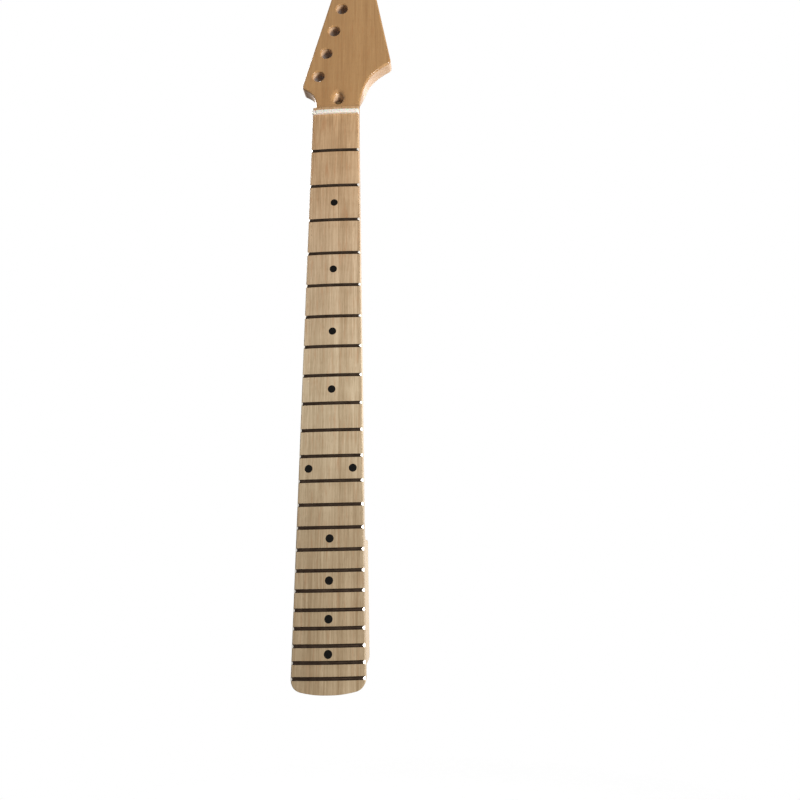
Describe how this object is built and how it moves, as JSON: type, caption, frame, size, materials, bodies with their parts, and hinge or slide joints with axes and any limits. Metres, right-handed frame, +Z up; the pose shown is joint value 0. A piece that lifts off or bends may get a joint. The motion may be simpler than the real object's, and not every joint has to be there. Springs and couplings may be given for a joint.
{
  "type": "electric guitar neck",
  "caption": "Bolt-on electric guitar neck with a maple fretboard, black dots, an angled six-in-line headstock without tuners, a nut and an adjustable truss rod under a dark back stripe.",
  "frame": {"origin": "the middle of the heel's flat back face, 38 mm above the heel's end, where the neck sits in a body's pocket", "axes": "+Z up along the neck to the headstock, +Y out of the flat back of the heel and headstock, -Y the playing face, +X the treble side"},
  "size_m": [0.0823, 0.0273, 0.6677],
  "materials": {
    "maple_neck": "clear gloss lacquer on maple",
    "maple_board": "clear satin lacquer on maple",
    "nut_bone": "polished bone white",
    "dark_stripe": "near-black hardwood under lacquer",
    "fret_wire": "nickel silver, not polished",
    "dot_black": "black, flush and polished",
    "rod_steel": "plain bright steel",
    "rod_brass": "turned brass, lightly tarnished"
  },
  "bodies": {
    "neck_body": {"neck": "maple_neck", "fretboard": "maple_board", "nut": "nut_bone", "back_stripe": "dark_stripe", "truss_rod": "rod_steel", "truss_rod_anchor": "rod_steel", "truss_rod_washer": "rod_steel", "fret_01": "fret_wire", "fret_02": "fret_wire", "fret_03": "fret_wire", "fret_04": "fret_wire", "fret_05": "fret_wire", "fret_06": "fret_wire", "fret_07": "fret_wire", "fret_08": "fret_wire", "fret_09": "fret_wire", "fret_10": "fret_wire", "fret_11": "fret_wire", "fret_12": "fret_wire", "fret_13": "fret_wire", "fret_14": "fret_wire", "fret_15": "fret_wire", "fret_16": "fret_wire", "fret_17": "fret_wire", "fret_18": "fret_wire", "fret_19": "fret_wire", "fret_20": "fret_wire", "fret_21": "fret_wire", "fret_22": "fret_wire", "dot_03": "dot_black", "dot_05": "dot_black", "dot_07": "dot_black", "dot_09": "dot_black", "dot_12_bass": "dot_black", "dot_12_treble": "dot_black", "dot_15": "dot_black", "dot_17": "dot_black", "dot_19": "dot_black", "dot_21": "dot_black", "side_dot_03": "dot_black", "side_dot_05": "dot_black", "side_dot_07": "dot_black", "side_dot_09": "dot_black", "side_dot_12_upper": "dot_black", "side_dot_12_lower": "dot_black", "side_dot_15": "dot_black", "side_dot_17": "dot_black", "side_dot_19": "dot_black", "side_dot_21": "dot_black"},
    "adjuster": {"adjusting_nut": "rod_brass"}
  },
  "joints": [
    {"name": "truss rod adjustment", "type": "hinge", "parent": "neck_body", "child": "adjuster", "pos_m": [0, -0.0093, 0.4466], "axis": [0, 0, 1], "range_deg": [-360, 360]}
  ]
}
